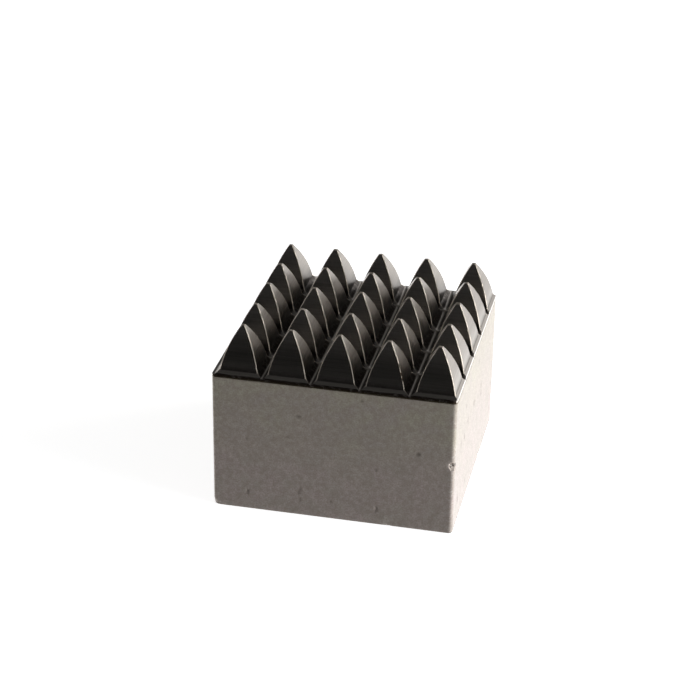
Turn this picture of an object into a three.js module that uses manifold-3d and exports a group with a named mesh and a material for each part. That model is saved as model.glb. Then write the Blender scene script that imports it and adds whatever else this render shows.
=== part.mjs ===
// A square bush hammer insert for dressing stone: a steel block whose working face is a carbide crown
// with a grid of sharp ogive points. The crown has a square tenon that sits in a milled pocket in the
// block. A braze film fills the joint, and a solder, copper and solder sandwich lies under the tenon.
//
// Millimetres, +Z up. The origin is the middle of the block's underside, and the points stand up.

import * as THREE from 'three';
import { RoundedBoxGeometry } from 'three/addons/geometries/RoundedBoxGeometry.js';
import { mergeVertices } from 'three/addons/utils/BufferGeometryUtils.js';
import Module from 'manifold-3d';

const wasm = await Module();
wasm.setup();

// ---- Driving dimensions ----

const BLOCK_WIDTH = 25;           // square, measured across the flats
const TOTAL_HEIGHT = 20;          // underside to the tips
const POINTS_PER_SIDE = 5;

const CROWN_SEAT = 15;            // height of the crown's underside, outside its tenon
const SEAM_FILM = 0.1;            // braze between the block's top face and the crown's rim
const SEAM_SETBACK = 0.05;        // the braze stops short of the side faces
const EDGE_RADIUS = 0.4;          // upright edges and bottom edges of the block

const TENON_WIDTH = 20;
const TENON_DEPTH = 3;
const TENON_CORNER_RADIUS = 2;    // left by the cutter that mills the pocket
const WALL_FILM = 0.15;           // braze between the tenon and the pocket's wall

const SOLDER_THICKNESS = 0.1;     // each of the two solder layers
const COPPER_THICKNESS = 0.3;     // soft copper between them, which takes up the two metals' strains

const FOOT_HEIGHT = 15.65;        // where a point's flanks meet the groove
const GROOVE_WIDTH = 1.1;         // between the feet of two neighbouring points
const GROOVE_FLOOR = 15.22;
const GROOVE_BOTTOM_RADIUS = 0.2; // the sides of a groove are straight and meet in a round bottom
const FLANK_RADIUS = 11;          // the flanks bulge outwards on this radius
const TIP_FLAT = 0.25;            // width of the blunted tip
const RIM_CHAMFER = 0.12;

const FLANK_STEPS = 8;
const GROOVE_STEPS = 5;
const CORNER_STEPS = 4;

// ---- Dimensions that follow ----

const HALF_WIDTH = BLOCK_WIDTH / 2;
const PITCH = BLOCK_WIDTH / POINTS_PER_SIDE;
const FOOT_REACH = (PITCH - GROOVE_WIDTH) / 2;
const BLOCK_TOP = CROWN_SEAT - SEAM_FILM;
const TENON_BOTTOM = CROWN_SEAT - TENON_DEPTH;
const POCKET_FLOOR = TENON_BOTTOM - 2 * SOLDER_THICKNESS - COPPER_THICKNESS;
const POCKET_WIDTH = TENON_WIDTH + 2 * WALL_FILM;
const POCKET_CORNER_RADIUS = TENON_CORNER_RADIUS + WALL_FILM;

// The straight sides of a groove run from its feet and touch the circle of its round bottom.
const FEET_ABOVE_CENTRE = FOOT_HEIGHT - GROOVE_FLOOR - GROOVE_BOTTOM_RADIUS;
const FOOT_TO_CENTRE = Math.hypot(GROOVE_WIDTH / 2, FEET_ABOVE_CENTRE);
const GROOVE_SLOPE = Math.asin(FEET_ABOVE_CENTRE / FOOT_TO_CENTRE)
  + Math.asin(GROOVE_BOTTOM_RADIUS / FOOT_TO_CENTRE);
const BOTTOM_REACH = GROOVE_BOTTOM_RADIUS * Math.sin(GROOVE_SLOPE);
const BOTTOM_RISE = GROOVE_BOTTOM_RADIUS * (1 - Math.cos(GROOVE_SLOPE));

// ---- Geometry helpers ----

function solidFrom(geometry) {
  const bare = geometry.clone();
  bare.deleteAttribute('normal');
  bare.deleteAttribute('uv');
  const merged = mergeVertices(bare);
  return new wasm.Manifold(new wasm.Mesh({
    numProp: 3,
    vertProperties: merged.attributes.position.array,
    triVerts: Uint32Array.from(merged.index.array),
  }));
}

function geometryFrom(solid) {
  const { vertProperties, triVerts } = solid.getMesh();
  const geometry = new THREE.BufferGeometry();
  geometry.setAttribute('position', new THREE.BufferAttribute(vertProperties, 3));
  geometry.setIndex(new THREE.BufferAttribute(triVerts, 1));
  const faceted = geometry.toNonIndexed();
  faceted.computeVertexNormals();
  return faceted;
}

function roundedSquare(width, cornerRadius) {
  const reach = width / 2 - cornerRadius;
  const quarter = Math.PI / 2;
  const outline = new THREE.Shape();
  outline.absarc(reach, reach, cornerRadius, 0, quarter);
  outline.absarc(-reach, reach, cornerRadius, quarter, 2 * quarter);
  outline.absarc(-reach, -reach, cornerRadius, 2 * quarter, 3 * quarter);
  outline.absarc(reach, -reach, cornerRadius, 3 * quarter, 4 * quarter);
  outline.closePath();
  return outline;
}

// An upright prism between two heights.
function prism(outline, bottom, top) {
  const geometry = new THREE.ExtrudeGeometry(outline, {
    depth: top - bottom,
    bevelEnabled: false,
    curveSegments: CORNER_STEPS,
  });
  geometry.translate(0, 0, bottom);
  return geometry;
}

// Points along the shorter arc from start to end, without its end. The arc turns clockwise about its
// centre when radius is positive, and the other way when it is negative.
function arcPoints(start, end, radius, steps) {
  const chord = end.clone().sub(start);
  const half = chord.length() / 2;
  const toCentre = Math.sign(radius) * Math.sqrt(radius ** 2 - half ** 2) / (2 * half);
  const centre = start.clone().add(end).multiplyScalar(0.5);
  centre.add(new THREE.Vector2(chord.y, -chord.x).multiplyScalar(toCentre));
  const spoke = start.clone().sub(centre);
  const sweep = -Math.sign(radius) * 2 * Math.asin(half / Math.abs(radius));
  const points = [];
  for (let step = 0; step < steps; step++) {
    points.push(spoke.clone().rotateAround(new THREE.Vector2(), sweep * step / steps).add(centre));
  }
  return points;
}

// ---- The pieces ----

function bodyBlock() {
  const spare = 2 * EDGE_RADIUS;
  const blankHeight = BLOCK_TOP + spare;
  const blank = new RoundedBoxGeometry(
    BLOCK_WIDTH, BLOCK_WIDTH, blankHeight, CORNER_STEPS, EDGE_RADIUS);
  blank.translate(0, 0, blankHeight / 2);
  const above = prism(roundedSquare(2 * BLOCK_WIDTH, EDGE_RADIUS), BLOCK_TOP, BLOCK_TOP + 2 * spare);
  const pocket = prism(roundedSquare(POCKET_WIDTH, POCKET_CORNER_RADIUS), POCKET_FLOOR, TOTAL_HEIGHT);
  return geometryFrom(solidFrom(blank).subtract(solidFrom(above)).subtract(solidFrom(pocket)));
}

// The upper edge of the crown's section from -X to +X: one ogive for each point, with V grooves
// between them and half a groove outside the first and the last.
function crownOutline() {
  const rimCut = Math.sqrt(GROOVE_BOTTOM_RADIUS ** 2 - RIM_CHAMFER ** 2);
  const rimHeight = GROOVE_FLOOR + GROOVE_BOTTOM_RADIUS - rimCut;
  const at = (x, z) => new THREE.Vector2(x, z);
  const outline = [
    at(-HALF_WIDTH, CROWN_SEAT),
    at(-HALF_WIDTH, rimHeight - RIM_CHAMFER),
    at(-HALF_WIDTH + RIM_CHAMFER, rimHeight),
  ];
  for (let i = 0; i < POINTS_PER_SIDE; i++) {
    const middle = (i + 0.5) * PITCH - HALF_WIDTH;
    const leftFoot = at(middle - FOOT_REACH, FOOT_HEIGHT);
    const leftTip = at(middle - TIP_FLAT / 2, TOTAL_HEIGHT);
    const rightTip = at(middle + TIP_FLAT / 2, TOTAL_HEIGHT);
    const rightFoot = at(middle + FOOT_REACH, FOOT_HEIGHT);
    outline.push(...arcPoints(leftFoot, leftTip, FLANK_RADIUS, FLANK_STEPS));
    outline.push(leftTip);
    outline.push(...arcPoints(rightTip, rightFoot, FLANK_RADIUS, FLANK_STEPS));
    outline.push(rightFoot);
    if (i < POINTS_PER_SIDE - 1) {
      const groove = middle + PITCH / 2;
      const bottomStart = at(groove - BOTTOM_REACH, GROOVE_FLOOR + BOTTOM_RISE);
      const bottomEnd = at(groove + BOTTOM_REACH, GROOVE_FLOOR + BOTTOM_RISE);
      outline.push(...arcPoints(bottomStart, bottomEnd, -GROOVE_BOTTOM_RADIUS, GROOVE_STEPS));
      outline.push(bottomEnd);
    }
  }
  outline.push(at(HALF_WIDTH - RIM_CHAMFER, rimHeight));
  outline.push(at(HALF_WIDTH, rimHeight - RIM_CHAMFER));
  outline.push(at(HALF_WIDTH, CROWN_SEAT));
  return new THREE.Shape(outline);
}

// Two ridged bars that cross at right angles leave a grid of four-sided points where they meet.
function toothCrown() {
  const ridges = new THREE.ExtrudeGeometry(crownOutline(), { depth: BLOCK_WIDTH, bevelEnabled: false });
  ridges.translate(0, 0, -HALF_WIDTH);
  ridges.rotateX(Math.PI / 2);
  const crossing = ridges.clone().rotateZ(Math.PI / 2);
  const limits = prism(roundedSquare(BLOCK_WIDTH, EDGE_RADIUS), CROWN_SEAT, TOTAL_HEIGHT + 1);
  const tenon = prism(roundedSquare(TENON_WIDTH, TENON_CORNER_RADIUS), TENON_BOTTOM, CROWN_SEAT);
  const grid = solidFrom(ridges).intersect(solidFrom(crossing)).intersect(solidFrom(limits));
  return geometryFrom(grid.add(solidFrom(tenon)));
}

// The braze that runs round the tenon and out under the crown's rim.
function brazeSeam() {
  const rim = roundedSquare(BLOCK_WIDTH - 2 * SEAM_SETBACK, EDGE_RADIUS - SEAM_SETBACK);
  rim.holes.push(roundedSquare(TENON_WIDTH, TENON_CORNER_RADIUS));
  const wall = roundedSquare(POCKET_WIDTH, POCKET_CORNER_RADIUS);
  wall.holes.push(roundedSquare(TENON_WIDTH, TENON_CORNER_RADIUS));
  const flange = solidFrom(prism(rim, BLOCK_TOP, CROWN_SEAT));
  return geometryFrom(flange.add(solidFrom(prism(wall, POCKET_FLOOR, BLOCK_TOP))));
}

// One layer of the sandwich under the tenon.
function foil(bottom, thickness) {
  return prism(roundedSquare(TENON_WIDTH, TENON_CORNER_RADIUS), bottom, bottom + thickness);
}

// ---- Materials ----

function metal(color, roughness, metalness = 1) {
  return new THREE.MeshStandardMaterial({ color, roughness, metalness });
}

const COPPER_BOTTOM = POCKET_FLOOR + SOLDER_THICKNESS;
const COPPER_TOP = COPPER_BOTTOM + COPPER_THICKNESS;

const pieces = [
  ['body_block', bodyBlock(), metal(0x6b6460, 0.7, 0.6)],
  ['tooth_crown', toothCrown(), metal(0x33322e, 0.25)],
  ['braze_seam', brazeSeam(), metal(0x4a4636, 0.5, 0.8)],
  ['solder_upper', foil(COPPER_TOP, SOLDER_THICKNESS), metal(0xc9bd93, 0.35)],
  ['copper_shim', foil(COPPER_BOTTOM, COPPER_THICKNESS), metal(0xb87345, 0.35)],
  ['solder_lower', foil(POCKET_FLOOR, SOLDER_THICKNESS), metal(0xc9bd93, 0.35)],
];

const insert = new THREE.Group();
for (const [name, geometry, material] of pieces) {
  const mesh = new THREE.Mesh(geometry, material);
  mesh.name = name;
  insert.add(mesh);
}

export default insert;
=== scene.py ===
import math

import bmesh
import bpy
import numpy as np
from mathutils import Matrix, Quaternion, Vector, noise


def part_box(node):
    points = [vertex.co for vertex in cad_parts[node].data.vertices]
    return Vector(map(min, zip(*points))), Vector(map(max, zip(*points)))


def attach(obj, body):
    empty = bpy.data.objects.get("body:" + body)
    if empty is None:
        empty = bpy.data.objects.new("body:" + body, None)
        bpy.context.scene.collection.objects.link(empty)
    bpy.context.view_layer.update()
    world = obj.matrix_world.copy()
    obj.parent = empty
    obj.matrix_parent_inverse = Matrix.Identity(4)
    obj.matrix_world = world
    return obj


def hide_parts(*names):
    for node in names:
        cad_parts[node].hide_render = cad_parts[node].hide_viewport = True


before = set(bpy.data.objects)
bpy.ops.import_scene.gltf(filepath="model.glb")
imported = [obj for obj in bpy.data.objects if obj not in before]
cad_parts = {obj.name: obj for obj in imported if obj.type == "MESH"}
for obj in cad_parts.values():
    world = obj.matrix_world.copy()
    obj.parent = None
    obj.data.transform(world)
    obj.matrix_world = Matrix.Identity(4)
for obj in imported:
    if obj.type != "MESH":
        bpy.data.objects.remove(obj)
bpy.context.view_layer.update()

# A square bush hammer insert: a matte steel block brazed to a ground carbide crown with a grid of
# ogive points. Lengths are in metres, in the CAD model's frame, and MM turns a millimetre into one.

MM = 0.001

# ---- Sizes that the frame gives ----

BLOCK_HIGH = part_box("body_block")[1]
CROWN_LOW, CROWN_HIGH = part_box("tooth_crown")
SEAM_LOW, SEAM_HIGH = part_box("braze_seam")
HALF_WIDTH = BLOCK_HIGH.x
BLOCK_TOP = BLOCK_HIGH.z
CROWN_SEAT = SEAM_HIGH.z
TIP_HEIGHT = CROWN_HIGH.z
TENON_BOTTOM = CROWN_LOW.z
POCKET_FLOOR = SEAM_LOW.z
SEAM_REACH = SEAM_HIGH.x

# ---- Sizes shared with the CAD source ----

POINTS_PER_SIDE = 5
PITCH = 2 * HALF_WIDTH / POINTS_PER_SIDE
FOOT_HEIGHT = 15.65 * MM
GROOVE_FLOOR = 15.22 * MM
GROOVE_WIDTH = 1.1 * MM
FLANK_RADIUS = 11 * MM
TIP_FLAT = 0.25 * MM
GROOVE_BOTTOM_RADIUS = 0.2 * MM
EDGE_RADIUS = 0.4 * MM
TENON_HALF = 10 * MM
TENON_CORNER = 2 * MM
WALL_FILM = 0.15 * MM

# A cell is the square of the grid round one point, and reach is the way from its middle to a side.
CELL = PITCH / 2
FOOT_REACH = CELL - GROOVE_WIDTH / 2
GROOVE_DEPTH = FOOT_HEIGHT - GROOVE_FLOOR
FOOT_TO_CENTRE = math.hypot(GROOVE_WIDTH / 2, GROOVE_DEPTH - GROOVE_BOTTOM_RADIUS)
GROOVE_SLOPE = math.asin((GROOVE_DEPTH - GROOVE_BOTTOM_RADIUS) / FOOT_TO_CENTRE)
GROOVE_SLOPE += math.asin(GROOVE_BOTTOM_RADIUS / FOOT_TO_CENTRE)


# ---- Camera ----

def place_camera():
    """In front of the block and a little to its right, above it, and tipped by under a degree. The
    numbers are those of a least-squares fit to the photo's tips and edges."""
    azimuth, elevation, roll = math.radians(11.938), math.radians(27.084), math.radians(0.905)
    distance = 0.21919
    aim = Vector((-1.203, 1.071, 12.535)) * MM
    back = Vector((
        math.sin(azimuth) * math.cos(elevation),
        -math.cos(azimuth) * math.cos(elevation),
        math.sin(elevation),
    ))
    data = bpy.data.cameras.new("camera")
    data.sensor_width = 36
    data.lens = 107.011
    data.clip_start = 0.01
    data.clip_end = 10
    camera = bpy.data.objects.new("camera", data)
    bpy.context.scene.collection.objects.link(camera)
    turn = (-back).to_track_quat("-Z", "Y") @ Quaternion((0, 0, 1), roll)
    camera.matrix_world = Matrix.Translation(aim + back * distance) @ turn.to_matrix().to_4x4()
    bpy.context.scene.camera = camera


# ---- Mesh helpers ----

QUARTERS = ((1, 0), (0, 1), (-1, 0), (0, -1))


def turned(points, quarter):
    cos, sin = QUARTERS[quarter]
    return [(x * cos - y * sin, x * sin + y * cos) for x, y in points]


def rounded_square(half, corner, spread, corner_steps):
    """A closed ring of points, anticlockwise from the right-hand side's lower end. spread places
    the points along each straight side, from -1 to 1. Rings of equal counts can be lofted."""
    straight = half - corner
    side = [(half, t * straight) for t in spread]
    for step in range(1, corner_steps):
        angle = math.pi / 2 * step / corner_steps
        side.append((straight + corner * math.cos(angle), straight + corner * math.sin(angle)))
    return [point for quarter in range(4) for point in turned(side, quarter)]


def loft_faces(ring_count, size, first=0):
    faces = []
    for ring in range(ring_count - 1):
        low = first + ring * size
        high = low + size
        for i in range(size):
            j = (i + 1) % size
            faces.append((low + i, low + j, high + j, high + i))
    return faces


def make_piece(name, points, faces, sharp_angle, layers=None):
    """A mesh with smooth faces and edges sharp above an angle in degrees. layers are its per-point
    values, by name."""
    mesh = bpy.data.meshes.new(name)
    mesh.from_pydata([tuple(p) for p in points], [], faces)
    for layer_name, values in (layers or {}).items():
        layer = mesh.attributes.new(layer_name, "FLOAT", "POINT")
        layer.data.foreach_set("value", np.asarray(values, np.float32))
    soup = bmesh.new()
    soup.from_mesh(mesh)
    bmesh.ops.remove_doubles(soup, verts=soup.verts, dist=0.0005 * MM)
    bmesh.ops.recalc_face_normals(soup, faces=soup.faces)
    soup.to_mesh(mesh)
    soup.free()
    for polygon in mesh.polygons:
        polygon.use_smooth = True
    mesh.set_sharp_from_angle(angle=math.radians(sharp_angle))
    piece = bpy.data.objects.new(name, mesh)
    bpy.context.scene.collection.objects.link(piece)
    return piece


def smooth_step(low, high, value):
    t = min(max((value - low) / (high - low), 0), 1)
    return t * t * (3 - 2 * t)


# ---- The crown ----

RIDGE_RADIUS = 0.07 * MM
RIDGE_STEPS = 4
RIM_BREAK = 0.04 * MM
RIM_REACH = HALF_WIDTH - RIM_BREAK
SEAT_BREAK = 0.03 * MM
FLANK_RINGS = 24
GROOVE_RINGS = 12
# A ring's points along a side, closer together towards the ridges, and the reaches of the rings at
# a tip, in mm.
SIDE_SPREAD = [-1, -0.985, -0.96, -0.92, -0.86, -0.7, -0.4, 0, 0.4, 0.7, 0.86, 0.92, 0.96, 0.985, 1]
TIP_REACHES = [0.012, 0.04, 0.07, 0.1, 0.13, 0.16, 0.19, 0.22, 0.25, 0.285, 0.32, 0.36]

# The grooves were ground a little off their places, so the points stand off the even grid by this.
# A helper program worked the shifts out from the tips' places in the photo.
COLUMN_SHIFTS = [0.25 * MM, 0.19 * MM, 0.16 * MM, 0.17 * MM, 0.27 * MM]
ROW_SHIFTS = [-0.18 * MM, -0.17 * MM, -0.07 * MM, -0.07 * MM, -0.15 * MM]

# Wear: every tip is blunted to its own height and tilt, and every ridge is nicked. The chipped
# stretch of one ridge begins and ends within these heights, in mm.
TIP_WEAR = 0.07 * MM
TIP_WEAR_SPREAD = 0.05 * MM
TIP_TILT = 0.1
TIP_SOFTNESS = 0.035 * MM
TIP_STRETCH = 1 * MM
BRIGHT_TIP = 0.2 * MM
NICKS_FROM = 0.3 * MM
NICK_DEPTH = 0.12 * MM
NICK_SPACING = 2.6
CHIPPED = (3, 0)
CHIP_DEPTH = 0.5 * MM
CHIP_LOW = (16.3, 16.7)
CHIP_HIGH = (17.8, 18.3)

# What grinding left: a bead at each ridge's foot and a mound where two grooves cross.
FOOT_BAND = 0.12 * MM
FOOT_BEAD = 0.07 * MM
CROSSING_RADIUS = 0.42 * MM
CROSSING_RISE = 0.1 * MM

# How strongly the painted shade shows in the grooves, up from the flanks' feet and along the rim's front
# side. On the crown's outer flanks it is only a painted shade line at their feet.
SHADE_RISE = 1.5 * MM
GROOVE_UNSHADED = 0.05 * MM
GROOVE_SHADED = 0.2 * MM
FOOT_SHADE_LINE = 0.7
CROSSING_SHADE = 0.4
FRONT_RIM_SHADE = 1.1


def arc_centre(start, end, radius):
    """Centre of the arc through two points, on the right of the way from start to end."""
    start, end = Vector(start), Vector(end)
    chord = end - start
    away = math.sqrt(radius ** 2 - (chord.length / 2) ** 2)
    return (start + end) / 2 + Vector((chord.y, -chord.x)).normalized() * away


FLANK_CENTRE = arc_centre((TIP_FLAT / 2, TIP_HEIGHT), (FOOT_REACH, FOOT_HEIGHT), FLANK_RADIUS)


def flank_height(reach):
    return FLANK_CENTRE.y + math.sqrt(FLANK_RADIUS ** 2 - (reach - FLANK_CENTRE.x) ** 2)


def flank_reach(height):
    return FLANK_CENTRE.x + math.sqrt(FLANK_RADIUS ** 2 - (height - FLANK_CENTRE.y) ** 2)


def groove_height(reach):
    """A narrow round bottom between two straight slopes."""
    across = CELL - reach
    bottom = min(across, GROOVE_BOTTOM_RADIUS * math.sin(GROOVE_SLOPE))
    sag = GROOVE_BOTTOM_RADIUS - math.sqrt(GROOVE_BOTTOM_RADIUS ** 2 - bottom ** 2)
    return GROOVE_FLOOR + sag + (across - bottom) * math.tan(GROOVE_SLOPE)


def tooth_rings():
    """(reach, height, ridge radius) of each ring of a point, from its tip to the middle of its
    grooves. The flanks run on up to a sharp apex, which the blunting cuts off."""
    rings = []
    for reach in TIP_REACHES:
        reach *= MM
        rings.append((reach, flank_height(reach), min(reach * 0.8, RIDGE_RADIUS)))
    top = rings[-1][1]
    for step in range(1, FLANK_RINGS + 1):
        height = top + (FOOT_HEIGHT - top) * step / FLANK_RINGS
        rings.append((flank_reach(height), height, RIDGE_RADIUS))
    for step in range(1, GROOVE_RINGS + 1):
        left = (1 - step / GROOVE_RINGS) ** 1.5
        reach = CELL - (CELL - FOOT_REACH) * left
        rings.append((reach, groove_height(reach), RIDGE_RADIUS * min(1, left * 8)))
    return rings


def blunted(height, ceiling, softness):
    """The lower of height and ceiling, with the edge between them rounded."""
    gap = max(softness - abs(height - ceiling), 0) / softness
    return min(height, ceiling) - gap ** 2 * softness / 4


def centre(number, shifts):
    return (number - (POINTS_PER_SIDE - 1) / 2) * PITCH + shifts[number]


def fitted(value, number, shifts):
    """Past the foot, a point keeps its share of the way to the middle of the groove or the rim.
    Returns its place from the middle of the block, and its reach for the groove's height."""
    past = abs(value) - FOOT_REACH
    middle = centre(number, shifts)
    if past <= 0:
        return middle + value, abs(value)
    side = 1 if value > 0 else -1
    if 0 <= number + side < POINTS_PER_SIDE:
        room = abs(centre(number + side, shifts) - middle) / 2 - FOOT_REACH
        return middle + side * (FOOT_REACH + past * room / (CELL - FOOT_REACH)), abs(value)
    room = RIM_REACH - side * middle - FOOT_REACH
    reach = FOOT_REACH + past * room / (CELL - FOOT_REACH)
    return middle + side * reach, min(reach, CELL)


def placed(column, row, x, y, height):
    """A point of one tooth's cell in the crown's frame."""
    place_x, reach_x = fitted(x, column, COLUMN_SHIFTS)
    place_y, reach_y = fitted(y, row, ROW_SHIFTS)
    reach = max(abs(x), abs(y))
    if reach > FOOT_REACH:
        height += groove_height(max(reach_x, reach_y, FOOT_REACH)) - groove_height(min(reach, CELL))
    return place_x, place_y, height


def chip(column, row, height):
    """How far a ridge is worn back: small nicks everywhere and a chipped stretch on one tooth. The
    factors keep the teeth far apart in the noise."""
    where = Vector((column * 7.3, row * 5.1, height / MM * NICK_SPACING))
    depth = max(0, noise.noise(where) - 0.22) * NICK_DEPTH
    if (column, row) == CHIPPED:
        in_reach = smooth_step(*CHIP_LOW, height / MM) - smooth_step(*CHIP_HIGH, height / MM)
        depth += abs(noise.noise(where * 2.2)) * in_reach * CHIP_DEPTH
    return depth


def groove_shade_at(reach, height):
    """Painted shade: dark at the feet of the flanks and in the grooves, but not along their middles."""
    if reach <= FOOT_REACH:
        return smooth_step(FOOT_HEIGHT + SHADE_RISE, FOOT_HEIGHT, height)
    return 1 - smooth_step(CELL - GROOVE_SHADED, CELL - GROOVE_UNSHADED, reach)


def crossing_rise(open_sides, x, y):
    """Height of the mound at a crossing, which the crown's outer sides don't have."""
    if open_sides[0 if x > 0 else 2] or open_sides[1 if y > 0 else 3]:
        return 0
    gap = math.hypot(CELL - abs(x), CELL - abs(y)) / CROSSING_RADIUS
    return CROSSING_RISE * (1 - min(1, gap) ** 2) ** 2


def ridge_cut(column, row, side, x, y, height):
    """The chipped tooth has only its front right ridge worn, and more than the others are."""
    if (column, row) != CHIPPED:
        return chip(column + side * 11, row, height)
    return chip(column, row, height) if y < 0 < x else 0


def one_tooth(column, row, random, rings):
    """(mesh points, wear, painted shade) of one tooth, out to the middle of the grooves round it."""
    ceiling = TIP_HEIGHT - TIP_WEAR - abs(random.normal(0, TIP_WEAR_SPREAD))
    tilt_x, tilt_y = random.normal(0, TIP_TILT, 2)
    per_side = len(SIDE_SPREAD) + RIDGE_STEPS - 1
    last = POINTS_PER_SIDE - 1
    open_sides = (column == last, row == last, column == 0, row == 0)
    points, wear, groove_shade = [], [], []
    for reach, height, corner in rings:
        ridge_wear = min(1, (CELL - reach) / (CELL - FOOT_REACH))
        shade_amount = groove_shade_at(reach, height)
        at_foot = max(0, 1 - abs(reach - FOOT_REACH) / FOOT_BAND)
        for index, (x, y) in enumerate(rounded_square(reach, corner, SIDE_SPREAD, RIDGE_STEPS)):
            side, place = divmod(index, per_side)
            on_ridge = place == 0 or place >= len(SIDE_SPREAD) - 1
            z = height
            if height > TIP_HEIGHT - TIP_STRETCH:
                z = blunted(height, ceiling + x * tilt_x + y * tilt_y, TIP_SOFTNESS)
            cut = 0
            if on_ridge and NICKS_FROM < reach < FOOT_REACH:
                cut = ridge_cut(column, row, side, x, y, z)
            if on_ridge:
                z += FOOT_BEAD * at_foot
            z += crossing_rise(open_sides, x, y)
            points.append(placed(column, row, x - math.copysign(cut, x), y - math.copysign(cut, y), z))
            wear.append(ridge_wear if on_ridge or reach < BRIGHT_TIP else 0)
            # Painted shade, weaker at the crossings; on the outer sides only a painted shade line at the
            # foot.
            at_crossing = min(abs(x), abs(y)) > FOOT_REACH
            inner = shade_amount * CROSSING_SHADE if at_crossing else shade_amount
            groove_shade.append(FOOT_SHADE_LINE * at_foot if open_sides[side] else inner)
    return points, wear, groove_shade


def rim_ring():
    """The crown's outer edge at the rim, in the same order as rounded_square."""
    flat, heights = [], []
    last = POINTS_PER_SIDE - 1
    for quarter in range(4):
        out_x, out_y = QUARTERS[quarter]
        for number in range(POINTS_PER_SIDE):
            step = 2 * number - last
            column = (last + last * out_x - step * out_y) // 2
            row = (last + last * out_y + step * out_x) // 2
            for t in SIDE_SPREAD[:-1]:
                x, y = turned([(CELL, t * CELL)], quarter)[0]
                place_x, place_y, height = placed(column, row, x, y, GROOVE_FLOOR)
                flat.append((place_x, place_y))
                heights.append(height)
    return flat, heights


def onto(flat, half, corner):
    """A ring that follows flat, scaled to a rounded square."""
    ring = []
    straight = half - corner
    for x, y in flat:
        x, y = x * half / RIM_REACH, y * half / RIM_REACH
        over_x, over_y = abs(x) - straight, abs(y) - straight
        if over_x > 0 and over_y > 0:
            length = math.hypot(over_x, over_y)
            x = math.copysign(straight + over_x / length * corner, x)
            y = math.copysign(straight + over_y / length * corner, y)
        ring.append((x, y))
    return ring


def make_crown():
    random = np.random.default_rng(7)
    rings = tooth_rings()
    size = 4 * (len(SIDE_SPREAD) + RIDGE_STEPS - 1)
    points, faces, wear, groove_shade = [], [], [], []
    for row in range(POINTS_PER_SIDE):
        for column in range(POINTS_PER_SIDE):
            first = len(points)
            tooth_points, tooth_wear, tooth_groove_shade = one_tooth(column, row, random, rings)
            points += tooth_points
            wear += tooth_wear
            groove_shade += tooth_groove_shade
            faces += loft_faces(len(rings), size, first)
            faces.append(tuple(range(first, first + size)))
    flat, heights = rim_ring()
    edge = onto(flat, HALF_WIDTH, EDGE_RADIUS)
    loops = [(flat, heights), (edge, [z - RIM_BREAK for z in heights])]
    for half, corner, z in (
            (HALF_WIDTH, EDGE_RADIUS, CROWN_SEAT + SEAT_BREAK),
            (HALF_WIDTH - SEAT_BREAK, EDGE_RADIUS - SEAT_BREAK, CROWN_SEAT),
            (TENON_HALF, TENON_CORNER, CROWN_SEAT),
            (TENON_HALF, TENON_CORNER, TENON_BOTTOM),
            (TENON_HALF / 2, TENON_CORNER / 2, TENON_BOTTOM)):
        loops.append((onto(flat, half, corner), [z] * len(flat)))
    first = len(points)
    for ring, levels in loops:
        points += [(x, y, z) for (x, y), z in zip(ring, levels)]
    wear += [0] * (len(loops) * len(flat))
    per_side = len(flat) // 4
    # Painted shade along the front side of the rim and the seat; the other three sides get none.
    groove_shade += ([0] * (3 * per_side) + [FRONT_RIM_SHADE] * per_side) * len(loops)
    faces += loft_faces(len(loops), len(flat), first)
    last = first + (len(loops) - 1) * len(flat)
    faces.append(tuple(range(last, last + len(flat))))
    return make_piece("ground_crown", points, faces, 28, layers={"wear": wear, "groove_shade": groove_shade})


# ---- The block ----

BODY_STEP = 0.16 * MM
BODY_CORNER_STEPS = 6
BOTTOM_RADIUS = 0.2 * MM
BOTTOM_STEPS = 6
# Painted contact shadow along the bottom edge: its strength and how fast it fades upwards.
BOTTOM_SHADE = 2
BOTTOM_SHADE_FALL = 0.7
TOP_RADIUS = 0.03 * MM
TOP_STEPS = 4
SKIN_FADE = 0.3 * MM
EDGE_WEAR = 0.3
PITS_PER_SIDE = 7

# Sides are numbered from the right one, anticlockwise: 0 right, 1 back, 2 left, 3 front. A pit is
# (side, along, height, half length, half width, depth) and a knock is (place, radius, depth), in mm.
# Most pits' places, and a few of the knocks' and scuffs', were read off the photo by eye and turned
# into mm by a helper program.
BIG_PITS = [
    (3, -3.55, 11.57, 0.22, 0.34, 0.06),
    (3, 2.96, 14.12, 0.16, 0.22, 0.05),
    (3, 8.75, 8.87, 0.3, 0.32, 0.07),
    (3, 4.53, 6.44, 0.2, 0.22, 0.05),
    (3, -4.6, 9.0, 0.16, 0.2, 0.05),
    (0, 3.7, 8.74, 0.5, 0.16, 0.06),
    (0, -0.95, 9.03, 0.45, 0.2, 0.07),
    (0, -4.72, 8.93, 0.5, 0.2, 0.07),
    (0, -8.89, 8.41, 0.5, 0.18, 0.06),
    (0, 1.5, 12.6, 0.4, 0.15, 0.05),
]
KNOCKS = [
    ((12.36, -12.42, 7.85), 0.55, 0.6),
    ((12.4, 12.3, 3.1), 0.5, 0.2),
    ((-12.3, -12.35, 0.15), 0.6, 0.16),
    ((-12.4, 12.4, 11.2), 0.45, 0.22),
    ((5.9, -12.5, 0.25), 0.7, 0.07),
    ((-7.4, 12.5, 0.2), 0.8, 0.08),
    ((12.5, 4.1, 0.2), 0.6, 0.07),
]

# Light scuffs on the skin: (place, radius), in mm.
SCUFFS = [
    ((-11.85, -12.5, 0.5), 0.5),
    ((-11.3, -12.5, 0.42), 0.3),
    ((5.9, -12.5, 0.6), 0.8),
    ((0.82, -12.5, 6.85), 0.3),
    ((-8.4, 12.5, 3.2), 0.6),
    ((12.5, 5.1, 0.6), 0.7),
]


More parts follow.
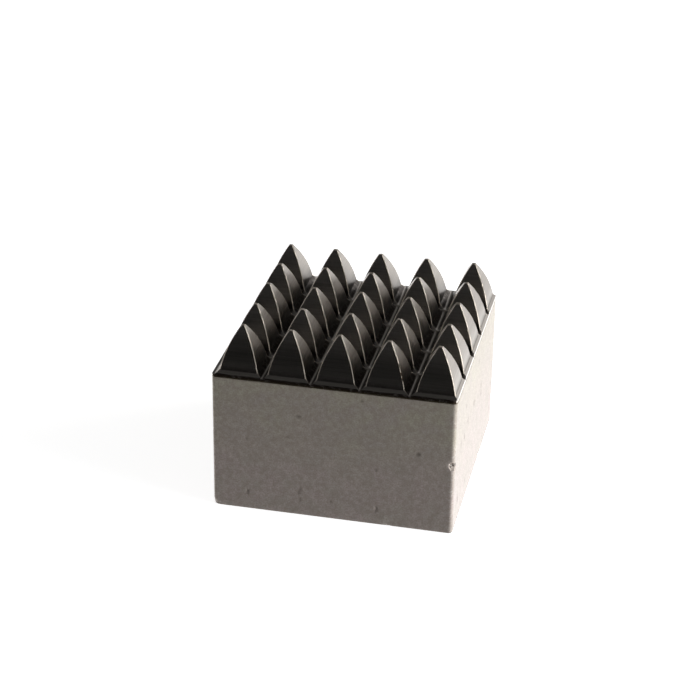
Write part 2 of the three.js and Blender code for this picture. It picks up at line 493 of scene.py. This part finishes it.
def make_pits(random):
    """Small pits left in the skin: (side, along, height, half length, half width, depth)."""
    pits = []
    for side in range(4):
        for _ in range(PITS_PER_SIDE):
            size = (0.12 + 0.1 * random.random() ** 2) * MM
            pits.append((
                side,
                random.uniform(-11.5, 11.5) * MM,
                random.uniform(1, 14) * MM,
                size * random.uniform(1, 3),
                size,
                size * random.uniform(0.25, 0.4),
            ))
    for side, along, height, half_length, half_width, depth in BIG_PITS:
        pits.append((side, along * MM, height * MM, half_length * MM, half_width * MM, depth * MM))
    return pits


def pit_cover(pits, side, along, height):
    """(depth, painted shade) of the pits at a place on a side."""
    depth, darkness = 0, 0
    for pit_side, pit_along, pit_height, half_length, half_width, pit_depth in pits:
        if pit_side != side or abs(height - pit_height) > half_length * 1.5:
            continue
        distance = math.hypot((along - pit_along) / half_width, (height - pit_height) / half_length)
        depth += pit_depth * (1 - smooth_step(0.3, 1, distance))
        # Painted shade inside each pit, darkest at its middle.
        darkness = max(darkness, 1 - smooth_step(0.3, 1.4, distance))
    return depth, darkness


def skin_depth(side, along, height):
    """The skin's own unevenness: long waves and short ones."""
    depth = 0.006 * noise.noise(Vector((along / MM * 0.35, height / MM * 0.35, side * 9.0)))
    depth += 0.003 * noise.noise(Vector((along / MM * 1.6, height / MM * 1.6, side * 9.0 + 4)))
    return depth * MM


def dented(x, y, z):
    """Knocks on the edges push the skin towards the block's axis, with a rough bottom. Returns the
    place and how near it is to the middle of a knock."""
    moved = 0
    for knock, radius, depth in KNOCKS:
        gap = (Vector((x, y, z)) - Vector(knock) * MM).length / (radius * MM)
        if gap < 1:
            push = depth * (1 - gap ** 2) ** 2 * (0.8 + 0.6 * noise.noise(Vector((x, y, z)) / MM * 6))
            shrink = 1 - push * MM / math.hypot(x, y)
            x, y = x * shrink, y * shrink
            moved = max(moved, 1 - gap)
    return x, y, z, moved


def scuffed(x, y, z):
    """How scuffed the skin is: 1 in the middle of a scuff, falling to 0 at its edge."""
    worn = 0
    for scuff, radius in SCUFFS:
        gap = (Vector((x, y, z)) - Vector(scuff) * MM).length / (radius * MM)
        worn = max(worn, 1 - gap)
    return worn


class Skin:
    """The block's points, each with its wear and painted shade, in rings of equal counts."""

    def __init__(self):
        self.flat_half = HALF_WIDTH - EDGE_RADIUS
        self.spread = np.linspace(-1, 1, round(2 * self.flat_half / BODY_STEP) + 1)
        self.per_side = len(self.spread) + BODY_CORNER_STEPS - 1
        self.points, self.wear, self.painted_shade = [], [], []

    def add_point(self, x, y, z, worn=0, darkness=0):
        x, y, z, moved = dented(x, y, z)
        self.points.append((x, y, z))
        self.wear.append(max(worn, moved * 2, scuffed(x, y, z)))
        self.painted_shade.append(darkness)

    def add_ring(self, half, corner, height, worn=0, darkness=0):
        for x, y in rounded_square(half, corner, self.spread, BODY_CORNER_STEPS):
            self.add_point(x, y, height, worn, darkness)


def add_bottom_edge(skin):
    """The rounded bottom edge, with painted contact shadow darkest underneath, and worn where it turns
    upright.
    """
    skin.add_ring(skin.flat_half, 0, 0, 0, BOTTOM_SHADE)
    for step in range(BOTTOM_STEPS):
        angle = math.pi / 2 * step / BOTTOM_STEPS
        inset = BOTTOM_RADIUS * (1 - math.sin(angle))
        height = BOTTOM_RADIUS * (1 - math.cos(angle))
        # Painted contact shadow, darkest where the edge meets the floor.
        darkness = BOTTOM_SHADE * math.cos(angle) ** BOTTOM_SHADE_FALL
        skin.add_ring(HALF_WIDTH - inset, EDGE_RADIUS - inset, height, EDGE_WEAR * math.sin(angle), darkness)


def add_sides(skin, pits):
    """The four faces and the upright edges. Unevenness and pits fade out towards the edges."""
    low, high = BOTTOM_RADIUS, BLOCK_TOP - TOP_RADIUS
    rows = round((high - low) / BODY_STEP)
    outline = rounded_square(HALF_WIDTH, EDGE_RADIUS, skin.spread, BODY_CORNER_STEPS)
    for row in range(rows + 1):
        height = low + (high - low) * row / rows
        lift = min(height - low, high - height) / SKIN_FADE
        for index, (x, y) in enumerate(outline):
            side, place = divmod(index, skin.per_side)
            if place >= len(skin.spread):
                skin.add_point(x, y, height, EDGE_WEAR)
                continue
            out_x, out_y = QUARTERS[side]
            along = -x * out_y + y * out_x
            edge = min(1, (skin.flat_half - abs(along)) / SKIN_FADE)
            depth, darkness = pit_cover(pits, side, along, height)
            depth = (depth + skin_depth(side, along, height)) * min(edge, lift, 1)
            worn = max(0, 1 - edge) * EDGE_WEAR
            skin.add_point(x - out_x * depth, y - out_y * depth, height, worn, darkness)


def add_top(skin):
    """The top edge, the seat for the crown, and the pocket."""
    for step in range(1, TOP_STEPS + 1):
        angle = math.pi / 2 * step / TOP_STEPS
        shrink = TOP_RADIUS * (1 - math.cos(angle))
        height = BLOCK_TOP - TOP_RADIUS * (1 - math.sin(angle))
        skin.add_ring(HALF_WIDTH - shrink, EDGE_RADIUS - shrink, height)
    pocket_half, pocket_corner = TENON_HALF + WALL_FILM, TENON_CORNER + WALL_FILM
    skin.add_ring(pocket_half, pocket_corner, BLOCK_TOP)
    skin.add_ring(pocket_half, pocket_corner, POCKET_FLOOR)
    skin.add_ring(pocket_half / 2, pocket_corner / 2, POCKET_FLOOR)


def add_underside(skin):
    """A grid of points across the bottom. Returns its faces."""
    first = len(skin.points)
    across = [float(t) * skin.flat_half for t in skin.spread]
    for y in across:
        for x in across:
            skin.add_point(x, y, 0)
    count = len(across)
    faces = []
    for row in range(count - 1):
        for column in range(count - 1):
            corner = first + row * count + column
            faces.append((corner, corner + 1, corner + count + 1, corner + count))
    return faces


def make_block():
    skin = Skin()
    pits = make_pits(np.random.default_rng(11))
    add_bottom_edge(skin)
    add_sides(skin, pits)
    add_top(skin)
    size = 4 * skin.per_side
    count = len(skin.points)
    faces = loft_faces(count // size, size)
    faces.append(tuple(range(count - size, count)))
    faces += add_underside(skin)
    layers = {"wear": skin.wear, "painted_shade": skin.painted_shade}
    return make_piece("steel_block", skin.points, faces, 30, layers)


# ---- The braze ----

SEAM_SAMPLES = 161
SEAM_DRAW = 0.0016


def make_braze():
    """The film's outer edge, which the fillet leaves slightly uneven, and its wall round the tenon."""
    spread = np.linspace(-1, 1, SEAM_SAMPLES)
    rings = []
    for share in (0, 0.5, 1):
        rings.append((SEAM_REACH, EDGE_RADIUS, BLOCK_TOP + share * (CROWN_SEAT - BLOCK_TOP), True))
    tenon, wall = (TENON_HALF, TENON_CORNER), (TENON_HALF + WALL_FILM, TENON_CORNER + WALL_FILM)
    rings += [
        (*tenon, CROWN_SEAT, False),
        (*tenon, POCKET_FLOOR, False),
        (*wall, POCKET_FLOOR, False),
        (*wall, BLOCK_TOP, False),
    ]
    points = []
    for half, corner, height, uneven in rings:
        for x, y in rounded_square(half, corner, spread, BODY_CORNER_STEPS):
            if uneven:
                draw = 1 - SEAM_DRAW * max(0, noise.noise(Vector((x, y, 0)) / MM * 0.7))
                x, y = x * draw, y * draw
            points.append((x, y, height))
    size = len(points) // len(rings)
    faces = loft_faces(len(rings), size)
    last = (len(rings) - 1) * size
    faces += [(last + i, last + (i + 1) % size, (i + 1) % size, i) for i in range(size)]
    return make_piece("braze_film", points, faces, 40)


# ---- Materials ----

def linear(red, green, blue):
    """A screen colour, 0 to 255, as the linear light that shaders take."""
    return tuple(
        (c / 255 / 12.92 if c <= 10 else ((c / 255 + 0.055) / 1.055) ** 2.4)
        for c in (red, green, blue)) + (1,)


class Shader:
    """A material under construction: add() makes a node and links or sets its inputs."""

    def __init__(self, name):
        self.material = bpy.data.materials.new(name)
        self.material.use_nodes = True
        self.tree = self.material.node_tree
        self.surface = self.tree.nodes["Principled BSDF"]

    def plug(self, socket, value):
        if isinstance(value, bpy.types.NodeSocket):
            self.tree.links.new(value, socket)
        else:
            socket.default_value = value

    def add(self, kind, inputs=None, **settings):
        node = self.tree.nodes.new(kind)
        for key, value in settings.items():
            setattr(node, key, value)
        for key, value in (inputs or {}).items():
            self.plug(node.inputs[key], value)
        return node

    def finish_with(self, inputs):
        for key, value in inputs.items():
            self.plug(self.surface.inputs[key], value)
        return self.material

    def millimetres(self, scale=(1, 1, 1)):
        coordinates = self.add("ShaderNodeTexCoord")
        mapping = self.add("ShaderNodeMapping", {
            "Vector": coordinates.outputs["Object"],
            "Scale": tuple(s / MM for s in scale),
        })
        return mapping.outputs["Vector"]

    def noise(self, where, scale, detail=3, roughness=0.55):
        return self.add("ShaderNodeTexNoise", {
            "Vector": where, "Scale": scale, "Detail": detail, "Roughness": roughness,
        }).outputs["Fac"]

    def spread(self, value, low, high, to_low=0, to_high=1):
        return self.add("ShaderNodeMapRange", {
            "Value": value, "From Min": low, "From Max": high, "To Min": to_low, "To Max": to_high,
        }).outputs["Result"]

    def height(self, where):
        return self.add("ShaderNodeSeparateXYZ", {"Vector": where}).outputs["Z"]

    def maths(self, operation, first, second):
        node = self.add("ShaderNodeMath", operation=operation)
        self.plug(node.inputs[0], first)
        self.plug(node.inputs[1], second)
        return node.outputs[0]

    def blend(self, share, first, second):
        node = self.add("ShaderNodeMix", data_type="RGBA")
        self.plug(node.inputs[0], share)
        self.plug(node.inputs[6], first)
        self.plug(node.inputs[7], second)
        return node.outputs[2]

    def bump(self, height, distance, under=None):
        inputs = {"Height": height, "Distance": distance * MM, "Strength": 1.0}
        if under is not None:
            inputs["Normal"] = under
        return self.add("ShaderNodeBump", inputs).outputs["Normal"]

    def attribute(self, name):
        return self.add("ShaderNodeAttribute", attribute_name=name).outputs["Fac"]


def matte_steel():
    """Grainy and dull, a little greener towards the top, with darker patches, light scuffs and painted shade
    in the pits and along the bottom edge.
    """
    shader = Shader("matte_steel")
    where = shader.millimetres()
    drift = shader.maths("MULTIPLY", shader.noise(where, 0.2, 3, 0.55), 14)
    level = shader.maths("ADD", shader.height(where), drift)
    broad = shader.spread(level, 19, 12)
    cloud = shader.spread(shader.noise(where, 0.5, 3, 0.6), 0.35, 0.65)
    patches = shader.spread(shader.noise(where, 1.9, 3, 0.6), 0.36, 0.64)
    grain = shader.noise(where, 6, 4, 0.7)
    fine = shader.noise(where, 22, 2, 0.6)
    colour = shader.blend(broad, linear(171, 166, 148), linear(178, 163, 160))
    colour = shader.blend(cloud, colour, linear(167, 158, 150))
    colour = shader.blend(shader.maths("MULTIPLY", patches, 0.6), colour, linear(139, 128, 119))
    colour = shader.blend(shader.spread(grain, 0.4, 0.72), colour, linear(134, 126, 118))
    specks = shader.spread(shader.noise(where, 2.5, 5, 0.7), 0.55, 0.7)
    worn = shader.maths("MULTIPLY", shader.attribute("wear"), specks)
    colour = shader.blend(worn, colour, linear(225, 220, 212))
    # Painted shade in the pits and painted contact shadow along the bottom edge.
    shaded = shader.maths("MULTIPLY", shader.attribute("painted_shade"), 0.5)
    colour = shader.blend(shaded, colour, linear(84, 76, 66))
    return shader.finish_with({
        "Base Color": colour,
        "Metallic": 0.3,
        "Roughness": shader.spread(grain, 0.3, 0.7, 0.4, 0.5),
        "Normal": shader.bump(fine, 0.003, shader.bump(grain, 0.008)),
    })


def ground_carbide():
    """Ground metal with fine level streaks, darkened by painted shade in the grooves, at the flanks' feet
    and along the rim's front side, and paler where it is worn.
    """
    shader = Shader("ground_carbide")
    streaks = shader.noise(shader.millimetres((0.15, 0.15, 13)), 1, 3, 0.65)
    broad = shader.noise(shader.millimetres((0.05, 0.05, 3)), 1, 2, 0.5)
    blotches = shader.noise(shader.millimetres(), 2.2, 4, 0.65)
    wear = shader.attribute("wear")
    tone = shader.spread(streaks, 0.35, 0.65)
    colour = shader.blend(tone, linear(176, 170, 163), linear(195, 189, 183))
    # Painted shade, made patchy by noise, in the grooves, at the flanks' feet and along the rim's front
    # side.
    shade_amount = shader.maths("MULTIPLY", shader.attribute("groove_shade"), shader.spread(blotches, 0.3, 0.5, 0.6, 0.95))
    colour = shader.blend(shade_amount, colour, linear(56, 48, 42))
    colour = shader.blend(wear, colour, linear(214, 205, 192))
    roughness = shader.spread(streaks, 0.3, 0.7, 0.28, 0.32)
    roughness = shader.maths("MAXIMUM", roughness, shader.maths("MULTIPLY", wear, 0.5))
    return shader.finish_with({
        "Base Color": colour,
        "Metallic": 1.0,
        "Roughness": roughness,
        "Normal": shader.bump(streaks, 0.0012, shader.bump(broad, 0.0008)),
    })


def old_braze():
    shader = Shader("old_braze")
    where = shader.millimetres()
    blotches = shader.noise(where, 1.5, 4, 0.6)
    colour = shader.blend(blotches, linear(52, 46, 34), linear(92, 80, 56))
    return shader.finish_with({
        "Base Color": colour,
        "Metallic": 0.8,
        "Roughness": shader.spread(blotches, 0.3, 0.7, 0.4, 0.6),
        "Normal": shader.bump(blotches, 0.01),
    })


def solder(name, dull, bright):
    shader = Shader(name)
    where = shader.millimetres()
    ripple = shader.noise(where, 2.5, 4, 0.6)
    return shader.finish_with({
        "Base Color": shader.blend(ripple, dull, bright),
        "Metallic": 1.0,
        "Roughness": shader.spread(ripple, 0.3, 0.7, 0.25, 0.45),
        "Normal": shader.bump(ripple, 0.01),
    })


def dress(piece, material):
    piece.data.materials.clear()
    piece.data.materials.append(material)


# ---- Studio ----

# The room's walls, whose brightness blends from one to the next. A wall is (its compass direction in
# degrees, anticlockwise from the object's right-hand side, its brightness at each of the levels), and
# a level is the sine of an elevation. The room is dark in front and bright on the right and behind.
# A helper program fitted a table like this to the photo's brightness, and these numbers are that
# table's, rounded and then partly changed by hand.
LEVELS = [-0.7, -0.45, -0.25, -0.05, 0.12, 0.28, 0.45, 0.7]
WALLS = [
    (-180, [1.5, 1.2, 0.9, 1, 1.1, 1.1, 0.6, 0.1]),
    (-130, [1, 0, 0.1, 0.03, 0, 0, 0.02, 0.03]),
    (-90, [0.3, 0, 0, 0, 0, 0, 0.02, 0.03]),
    (-50, [1.8, 1.8, 1, 0.5, 0.4, 0.4, 0.25, 0.1]),
    (0, [3, 3, 1.4, 1.6, 2, 2.3, 0.8, 0.2]),
    (60, [3.6, 1.7, 0.7, 1.1, 0.3, 1.6, 0.25, 0.05]),
    (110, [3.6, 4.5, 1, 1, 0.2, 0.05, 0.08, 0.05]),
]
STRAIGHT_DOWN = 1.0
STRAIGHT_UP = 0.05
BRIGHTEST = 5.0

LAMP_DISTANCE = 0.6
LAMP_WIDTH = 0.35
WARM = (1, 0.96, 0.91)
COOL = (0.85, 0.93, 1)
NEUTRAL = (1, 1, 1)


def make_floor():
    mesh = bpy.data.meshes.new("floor")
    half = 1.5
    mesh.from_pydata(
        [(-half, -half, 0), (half, -half, 0), (half, half, 0), (-half, half, 0)],
        [], [(0, 1, 2, 3)])
    floor = bpy.data.objects.new("floor", mesh)
    bpy.context.scene.collection.objects.link(floor)
    shader = Shader("pale_floor")
    cloud = shader.noise(shader.millimetres(), 0.02, 2)
    dress(floor, shader.finish_with({
        "Base Color": shader.blend(cloud, (0.76, 0.76, 0.76, 1), (0.8, 0.8, 0.8, 1)),
        "Roughness": 0.9,
        "Emission Color": (1, 1, 1, 1),
        "Emission Strength": 0.85,
    }))
    floor.visible_glossy = False
    floor.visible_diffuse = False


def make_world():
    """A room of softly graded walls. The camera sees plain white all over."""
    world = bpy.data.worlds.new("studio")
    bpy.context.scene.world = world
    world.use_nodes = True
    tree = world.node_tree
    tree.nodes.clear()

    def add(kind, **settings):
        node = tree.nodes.new(kind)
        for key, value in settings.items():
            setattr(node, key, value)
        return node

    def link(source, target):
        tree.links.new(source, target)

    def ramp(position, stops):
        node = add("ShaderNodeValToRGB")
        node.color_ramp.interpolation = "EASE"
        elements = node.color_ramp.elements
        for _ in range(len(stops) - 2):
            elements.new(0.5)
        for element, (place, value) in zip(elements, stops):
            element.position = place
            element.color = (value, value, value, 1)
        link(position, node.inputs["Fac"])
        return node.outputs["Color"]

    def maths(operation, first, second):
        node = add("ShaderNodeMath", operation=operation)
        link(first, node.inputs[0])
        link(second, node.inputs[1])
        return node.outputs[0]

    direction = add("ShaderNodeTexCoord").outputs["Generated"]
    split = add("ShaderNodeSeparateXYZ")
    link(direction, split.inputs[0])
    level = add("ShaderNodeMapRange")
    link(split.outputs["Z"], level.inputs["Value"])
    level.inputs["From Min"].default_value = -1.0
    compass = add("ShaderNodeTexGradient", gradient_type="RADIAL")
    link(direction, compass.inputs["Vector"])
    around = None
    for wall, brightness in WALLS:
        nearness = [(azimuth / 360 + 0.5, float(azimuth == wall)) for azimuth, _ in WALLS]
        nearness.append((1, nearness[0][1]))
        column = zip([-1, *LEVELS, 1], [STRAIGHT_DOWN, *brightness, STRAIGHT_UP])
        by_height = [((z + 1) / 2, value / BRIGHTEST) for z, value in column]
        near = ramp(compass.outputs["Fac"], nearness)
        lit = maths("MULTIPLY", near, ramp(level.outputs["Result"], by_height))
        around = lit if around is None else maths("ADD", around, lit)
    room = add("ShaderNodeBackground")
    link(around, room.inputs["Color"])
    room.inputs["Strength"].default_value = BRIGHTEST
    white = add("ShaderNodeBackground")
    choice = add("ShaderNodeMixShader")
    white.inputs["Color"].default_value = (1, 1, 1, 1)
    link(add("ShaderNodeLightPath").outputs["Is Camera Ray"], choice.inputs["Fac"])
    link(room.outputs[0], choice.inputs[1])
    link(white.outputs[0], choice.inputs[2])
    output = add("ShaderNodeOutputWorld")
    link(choice.outputs[0], output.inputs["Surface"])


def softbox(name, direction, brightness, tint, mirrored=True):
    """A soft lamp that faces the object. Only matte surfaces see one that isn't mirrored."""
    data = bpy.data.lights.new(name, "AREA")
    data.shape = "SQUARE"
    data.size = LAMP_WIDTH
    data.energy = brightness * math.pi * LAMP_WIDTH ** 2
    data.color = tint
    lamp = bpy.data.objects.new(name, data)
    bpy.context.scene.collection.objects.link(lamp)
    place = Vector(direction).normalized() * LAMP_DISTANCE
    turn = (Vector((0, 0, 0.01)) - place).to_track_quat("-Z", "Y")
    lamp.matrix_world = Matrix.Translation(place) @ turn.to_matrix().to_4x4()
    lamp.visible_glossy = mirrored


# ---- Build ----

place_camera()

CROWN = make_crown()
dress(CROWN, ground_carbide())
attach(CROWN, "root")
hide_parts("tooth_crown")

BLOCK = make_block()
dress(BLOCK, matte_steel())
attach(BLOCK, "root")
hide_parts("body_block")

BRAZE = make_braze()
dress(BRAZE, old_braze())
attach(BRAZE, "root")
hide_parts("braze_seam")

SILVER = solder("silver_solder", linear(176, 168, 138), linear(214, 206, 178))
COPPER = solder("copper_sheet", linear(168, 98, 62), linear(206, 132, 92))
for node_name, material in (("solder_upper", SILVER), ("copper_shim", COPPER), ("solder_lower", SILVER)):
    dress(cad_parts[node_name], material)

make_floor()
make_world()
softbox("side_light", (0.93, 0.34, 0.17), 7.7, WARM)
softbox("side_fill", (1, -0.1, 0.15), 9.7, COOL, mirrored=False)
softbox("front_fill", (0.6, -1, 0.1), 1.3, NEUTRAL, mirrored=False)

bpy.context.scene.view_settings.view_transform = "Standard"
